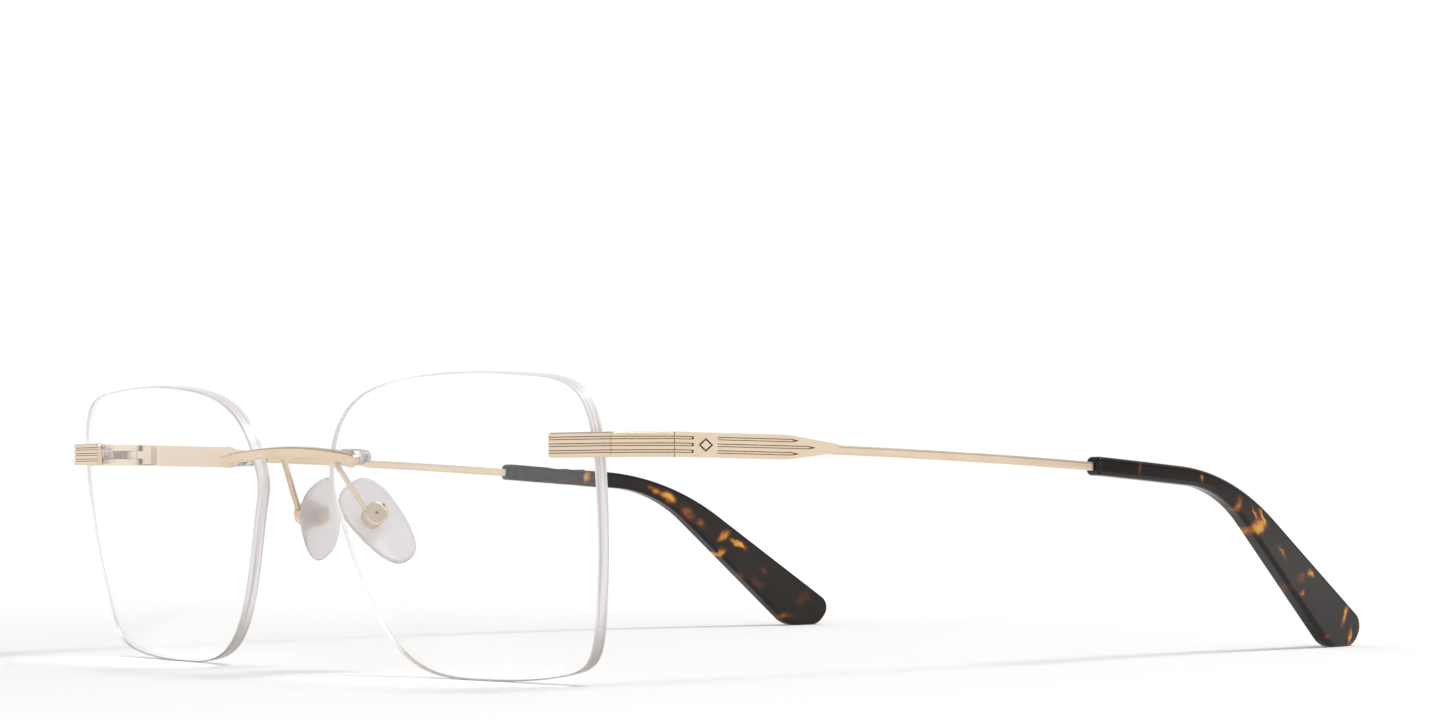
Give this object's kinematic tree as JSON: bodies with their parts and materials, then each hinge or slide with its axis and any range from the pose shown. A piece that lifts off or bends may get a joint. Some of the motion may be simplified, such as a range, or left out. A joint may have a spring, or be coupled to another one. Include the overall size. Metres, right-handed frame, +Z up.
{
  "type": "rimless eyeglasses",
  "caption": "Rimless eyeglasses: butterfly-square clear lenses drilled to an arched bridge and grooved metal end pieces, clear nose pads, thin folding temples, tortoise ear tips.",
  "frame": {"origin": "the centre of the open glasses' bounding box, on the surface they stand on", "axes": "+X to the wearer's left, -Y the way the lens fronts face, +Y along the open temples towards the ears, +Z up"},
  "size_m": [0.1416, 0.153, 0.0408],
  "materials": {
    "lens": "polished clear lens",
    "frame_gold": "satin champagne-gold plating",
    "screw_gold": "polished champagne-gold plating",
    "clear_sleeve": "clear moulded plastic",
    "pad_silicone": "clear soft silicone",
    "tip_acetate": "polished tortoiseshell-pattern acetate"
  },
  "bodies": {
    "front": {"bridge": "frame_gold", "bridge_pins": "screw_gold", "end_piece_pins": "screw_gold", "hinge_screws": "screw_gold", "pad_screws": "screw_gold", "lens_left": "lens", "bridge_plug_left": "clear_sleeve", "end_piece_left": "frame_gold", "end_piece_plug_left": "clear_sleeve", "hinge_fork_left": "frame_gold", "pad_arm_left": "frame_gold", "pad_box_left": "frame_gold", "lens_right": "lens", "bridge_plug_right": "clear_sleeve", "end_piece_right": "frame_gold", "end_piece_plug_right": "clear_sleeve", "hinge_fork_right": "frame_gold", "pad_arm_right": "frame_gold", "pad_box_right": "frame_gold"},
    "left_temple": {"temple_left": "frame_gold", "hinge_tongue_left": "frame_gold", "temple_tip_left": "tip_acetate"},
    "right_temple": {"temple_right": "frame_gold", "hinge_tongue_right": "frame_gold", "temple_tip_right": "tip_acetate"},
    "left_pad": {"nose_pad_left": "pad_silicone", "pad_insert_left": "frame_gold"},
    "right_pad": {"nose_pad_right": "pad_silicone", "pad_insert_right": "frame_gold"}
  },
  "joints": [
    {"name": "left_temple_hinge", "type": "hinge", "parent": "front", "child": "left_temple", "pos_m": [0.06566, -0.06122, 0.03083], "axis": [0, 0, 1], "range_deg": [0, 88]},
    {"name": "right_temple_hinge", "type": "hinge", "parent": "front", "child": "right_temple", "pos_m": [-0.06566, -0.06122, 0.03083], "axis": [0, 0, -1], "range_deg": [0, 84]},
    {"name": "left_pad_pivot", "type": "hinge", "parent": "front", "child": "left_pad", "pos_m": [0.00941, -0.0665, 0.02177], "axis": [0.0125, 0.8356, 0.5492], "range_deg": [-10, 10]},
    {"name": "right_pad_pivot", "type": "hinge", "parent": "front", "child": "right_pad", "pos_m": [-0.00941, -0.0665, 0.02177], "axis": [-0.0125, 0.8356, 0.5492], "range_deg": [-10, 10]}
  ]
}
